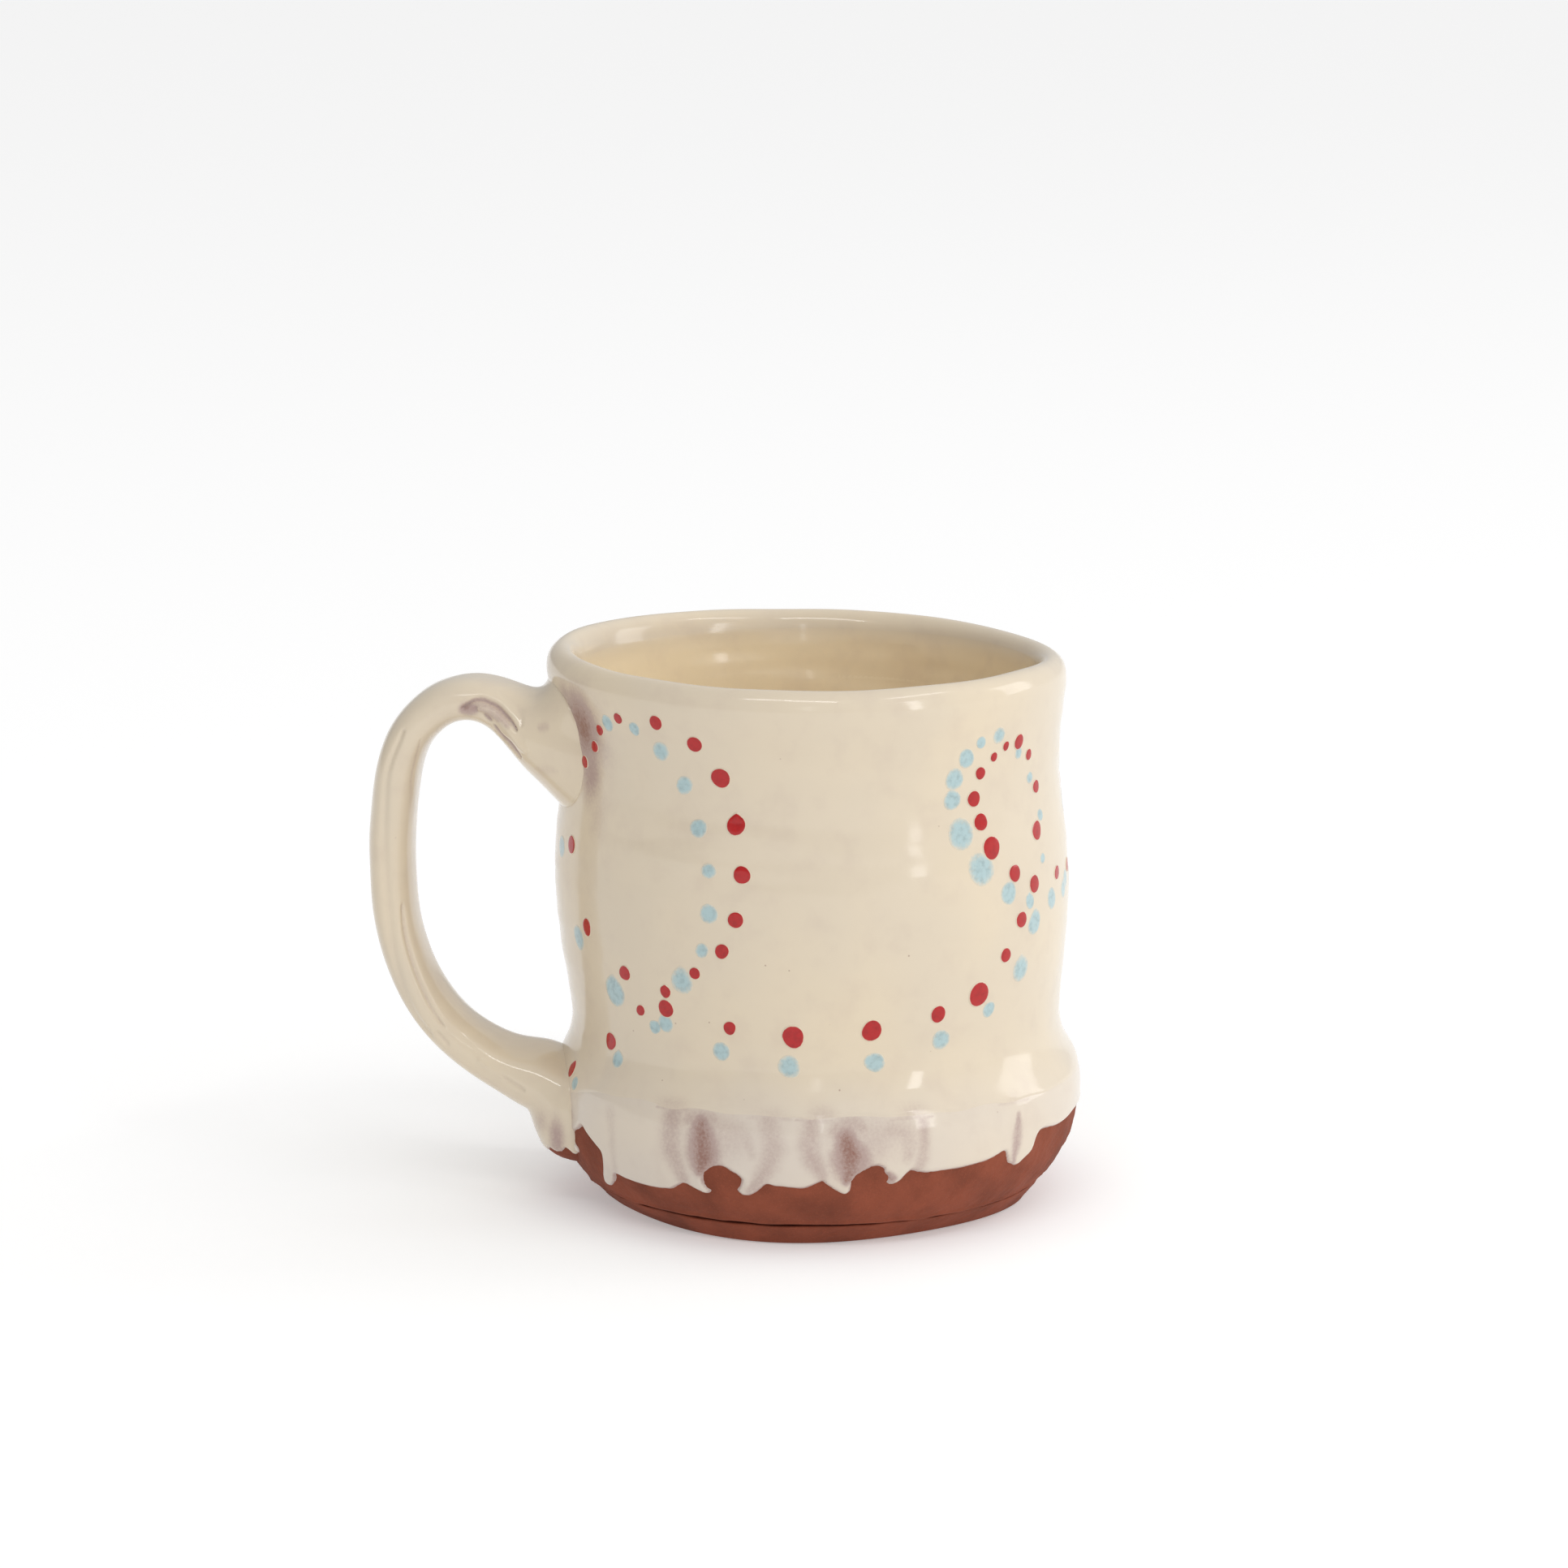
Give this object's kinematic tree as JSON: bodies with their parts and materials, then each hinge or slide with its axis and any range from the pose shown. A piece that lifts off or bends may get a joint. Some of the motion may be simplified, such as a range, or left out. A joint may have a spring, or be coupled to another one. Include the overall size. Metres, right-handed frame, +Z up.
{
  "type": "handmade stoneware mug",
  "caption": "Handmade red-clay mug with a pulled strap handle, slab foot, cream glaze dipped to a bare clay edge, and looping dotted trails in red and blue.",
  "frame": {"origin": "middle of the foot's underside, on the table", "axes": "+Z up, handle on the -X side, front of the mug towards -Y"},
  "size_m": [0.1236, 0.0922, 0.0972],
  "materials": {
    "red_clay": "matt fired red clay with fine grog",
    "joining_slip": "matt fired slip, a little darker than the clay",
    "cream_glaze": "satin gloss cream glaze, pink to iron brown where thin",
    "red_spots": "gloss, slightly raised",
    "blue_spots": "gloss, soft edged in the glaze"
  },
  "bodies": {
    "root": {"base_slab": "red_clay", "base_slip_ring": "joining_slip", "wall": "red_clay", "handle": "red_clay", "upper_slip_joint": "joining_slip", "lower_slip_joint": "joining_slip", "liner_glaze": "cream_glaze", "outer_glaze": "cream_glaze", "handle_glaze": "cream_glaze", "red_dots": "red_spots", "blue_dots": "blue_spots"}
  },
  "joints": []
}
